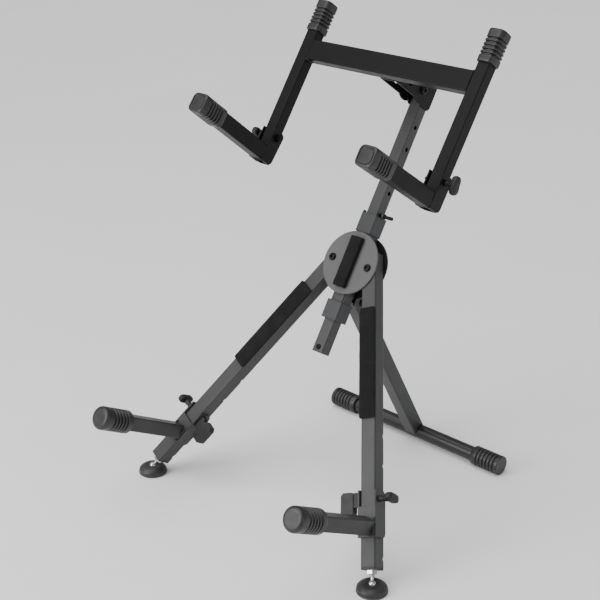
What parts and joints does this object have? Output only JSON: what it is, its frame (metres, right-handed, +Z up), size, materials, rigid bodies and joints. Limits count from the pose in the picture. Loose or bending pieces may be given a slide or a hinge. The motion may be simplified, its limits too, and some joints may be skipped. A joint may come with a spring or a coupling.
{
  "type": "music stand",
  "caption": "Folding tripod stand that holds music gear on two tiers of padded arms, with a tilting fork on a telescoping mast.",
  "frame": {"origin": "centre of the bounding box on the floor, under the stand", "axes": "+Z up, -Y is the front that the arms point to, +X is on the right when seen from the front"},
  "size_m": [0.6364, 0.663, 0.9027],
  "materials": {
    "legs_paint": "satin black, lightly textured",
    "hub_paint": "satin dark grey",
    "collar_paint": "satin dark grey",
    "fork_paint": "satin black",
    "foam": "matt foam rubber",
    "cap_rubber": "matt ribbed rubber",
    "plastic": "fine matt black plastic",
    "foot_plastic": "smooth black",
    "zinc": "bright plated",
    "black_steel": "black oxide, slightly shiny"
  },
  "bodies": {
    "hub": {"hub_front_plate": "hub_paint", "hub_rear_plate": "hub_paint", "hub_guide_cheeks": "collar_paint", "upper_collar": "collar_paint", "lower_collar": "collar_paint", "rear_leg_ears": "collar_paint", "leg_pivot_bolts": "black_steel", "leg_pivot_nuts": "black_steel", "hub_pad": "foam", "rear_pivot_bolt": "black_steel", "rear_pivot_nut": "black_steel", "height_pin_bush": "collar_paint"},
    "rear_leg": {"rear_leg_tube": "legs_paint", "rear_t_bar": "legs_paint", "left_t_bar_cap": "cap_rubber", "right_t_bar_cap": "cap_rubber"},
    "mast": {"mast_tube": "hub_paint", "mast_stop_screw": "black_steel", "mast_head_bracket": "fork_paint", "tilt_bolt": "black_steel", "tilt_nut": "black_steel"},
    "height_pin": {"height_pin": "black_steel"},
    "fork": {"fork_yoke": "fork_paint", "fork_crossbar": "fork_paint", "left_fork_rail": "fork_paint", "right_fork_rail": "fork_paint", "left_fork_rail_cap": "cap_rubber", "right_fork_rail_cap": "cap_rubber"},
    "left_leg": {"left_leg_tube": "legs_paint", "left_leg_pad": "foam", "left_leg_plug": "plastic", "left_foot_lock_nut": "zinc"},
    "left_foot_screw": {"left_foot_screw": "zinc"},
    "left_foot_pad": {"left_foot_pad": "foot_plastic"},
    "left_lower_arm": {"left_lower_bracket": "fork_paint", "left_lower_arm_tube": "fork_paint", "left_lower_arm_cap": "cap_rubber", "left_lower_grip_nut": "plastic"},
    "left_lower_knob": {"left_lower_knob": "plastic"},
    "left_fork_arm": {"left_fork_bracket": "fork_paint", "left_fork_arm_tube": "fork_paint", "left_fork_arm_cap": "cap_rubber", "left_fork_bracket_nut": "black_steel"},
    "left_fork_knob": {"left_fork_knob": "plastic"},
    "right_leg": {"right_leg_tube": "legs_paint", "right_leg_pad": "foam", "right_leg_plug": "plastic", "right_foot_lock_nut": "zinc"},
    "right_foot_screw": {"right_foot_screw": "zinc"},
    "right_foot_pad": {"right_foot_pad": "foot_plastic"},
    "right_lower_arm": {"right_lower_bracket": "fork_paint", "right_lower_arm_tube": "fork_paint", "right_lower_arm_cap": "cap_rubber", "right_lower_grip_nut": "plastic"},
    "right_lower_knob": {"right_lower_knob": "plastic"},
    "right_fork_arm": {"right_fork_bracket": "fork_paint", "right_fork_arm_tube": "fork_paint", "right_fork_arm_cap": "cap_rubber", "right_fork_bracket_nut": "black_steel"},
    "right_fork_knob": {"right_fork_knob": "plastic"}
  },
  "joints": [
    {"name": "rear_leg_fold", "type": "hinge", "parent": "hub", "child": "rear_leg", "pos_m": [0, 0.10716, 0.37751], "axis": [-1, 0, 0], "range_deg": [0, 60]},
    {"name": "mast_height", "type": "slide", "parent": "hub", "child": "mast", "axis": [0, 0.5299, 0.848], "range_m": [-0.178, 0.0445]},
    {"name": "height_pin_pull", "type": "slide", "parent": "hub", "child": "height_pin", "axis": [1, 0, 0], "range_m": [0, 0.012]},
    {"name": "fork_tilt", "type": "hinge", "parent": "mast", "child": "fork", "pos_m": [0, 0.26599, 0.75889], "axis": [1, 0, 0], "range_deg": [-20, 20]},
    {"name": "left_leg_fold", "type": "hinge", "parent": "hub", "child": "left_leg", "pos_m": [-0.043, 0.1062, 0.44957], "axis": [0, -0.848, 0.5299], "range_deg": [0, 22]},
    {"name": "left_foot_level", "type": "slide", "parent": "left_leg", "child": "left_foot_screw", "axis": [-0.4337, -0.4775, -0.7642], "range_m": [-0.002, 0.01]},
    {"name": "left_foot_swivel", "type": "hinge", "parent": "left_foot_screw", "child": "left_foot_pad", "pos_m": [-0.29019, -0.16598, 0.014], "axis": [1, 0, 0], "range_deg": [-10, 10]},
    {"name": "left_lower_arm_fold", "type": "hinge", "parent": "left_leg", "child": "left_lower_arm", "pos_m": [-0.22731, -0.10268, 0.12851], "axis": [-0.9011, 0.2298, 0.3678], "range_deg": [0, 90]},
    {"name": "left_lower_knob_turn", "type": "hinge", "parent": "left_lower_arm", "child": "left_lower_knob", "pos_m": [-0.25704, -0.09509, 0.14065], "axis": [-0.9011, 0.2298, 0.3678], "continuous": true},
    {"name": "left_fork_arm_fold", "type": "hinge", "parent": "fork", "child": "left_fork_arm", "pos_m": [-0.2, 0.08561, 0.66224], "axis": [-1, 0, 0], "range_deg": [-4.5, 85.5]},
    {"name": "left_fork_knob_turn", "type": "hinge", "parent": "left_fork_arm", "child": "left_fork_knob", "pos_m": [-0.228, 0.08561, 0.66224], "axis": [-1, 0, 0], "continuous": true},
    {"name": "right_leg_fold", "type": "hinge", "parent": "hub", "child": "right_leg", "pos_m": [0.043, 0.1062, 0.44957], "axis": [0, 0.848, -0.5299], "range_deg": [0, 22]},
    {"name": "right_foot_level", "type": "slide", "parent": "right_leg", "child": "right_foot_screw", "axis": [0.4337, -0.4775, -0.7642], "range_m": [-0.002, 0.01]},
    {"name": "right_foot_swivel", "type": "hinge", "parent": "right_foot_screw", "child": "right_foot_pad", "pos_m": [0.29019, -0.16598, 0.014], "axis": [1, 0, 0], "range_deg": [-10, 10]},
    {"name": "right_lower_arm_fold", "type": "hinge", "parent": "right_leg", "child": "right_lower_arm", "pos_m": [0.22731, -0.10268, 0.12851], "axis": [-0.9011, -0.2298, -0.3678], "range_deg": [0, 90]},
    {"name": "right_lower_knob_turn", "type": "hinge", "parent": "right_lower_arm", "child": "right_lower_knob", "pos_m": [0.25704, -0.09509, 0.14065], "axis": [0.9011, 0.2298, 0.3678], "continuous": true},
    {"name": "right_fork_arm_fold", "type": "hinge", "parent": "fork", "child": "right_fork_arm", "pos_m": [0.2, 0.08561, 0.66224], "axis": [-1, 0, 0], "range_deg": [0, 90]},
    {"name": "right_fork_knob_turn", "type": "hinge", "parent": "right_fork_arm", "child": "right_fork_knob", "pos_m": [0.228, 0.08561, 0.66224], "axis": [1, 0, 0], "continuous": true}
  ]
}
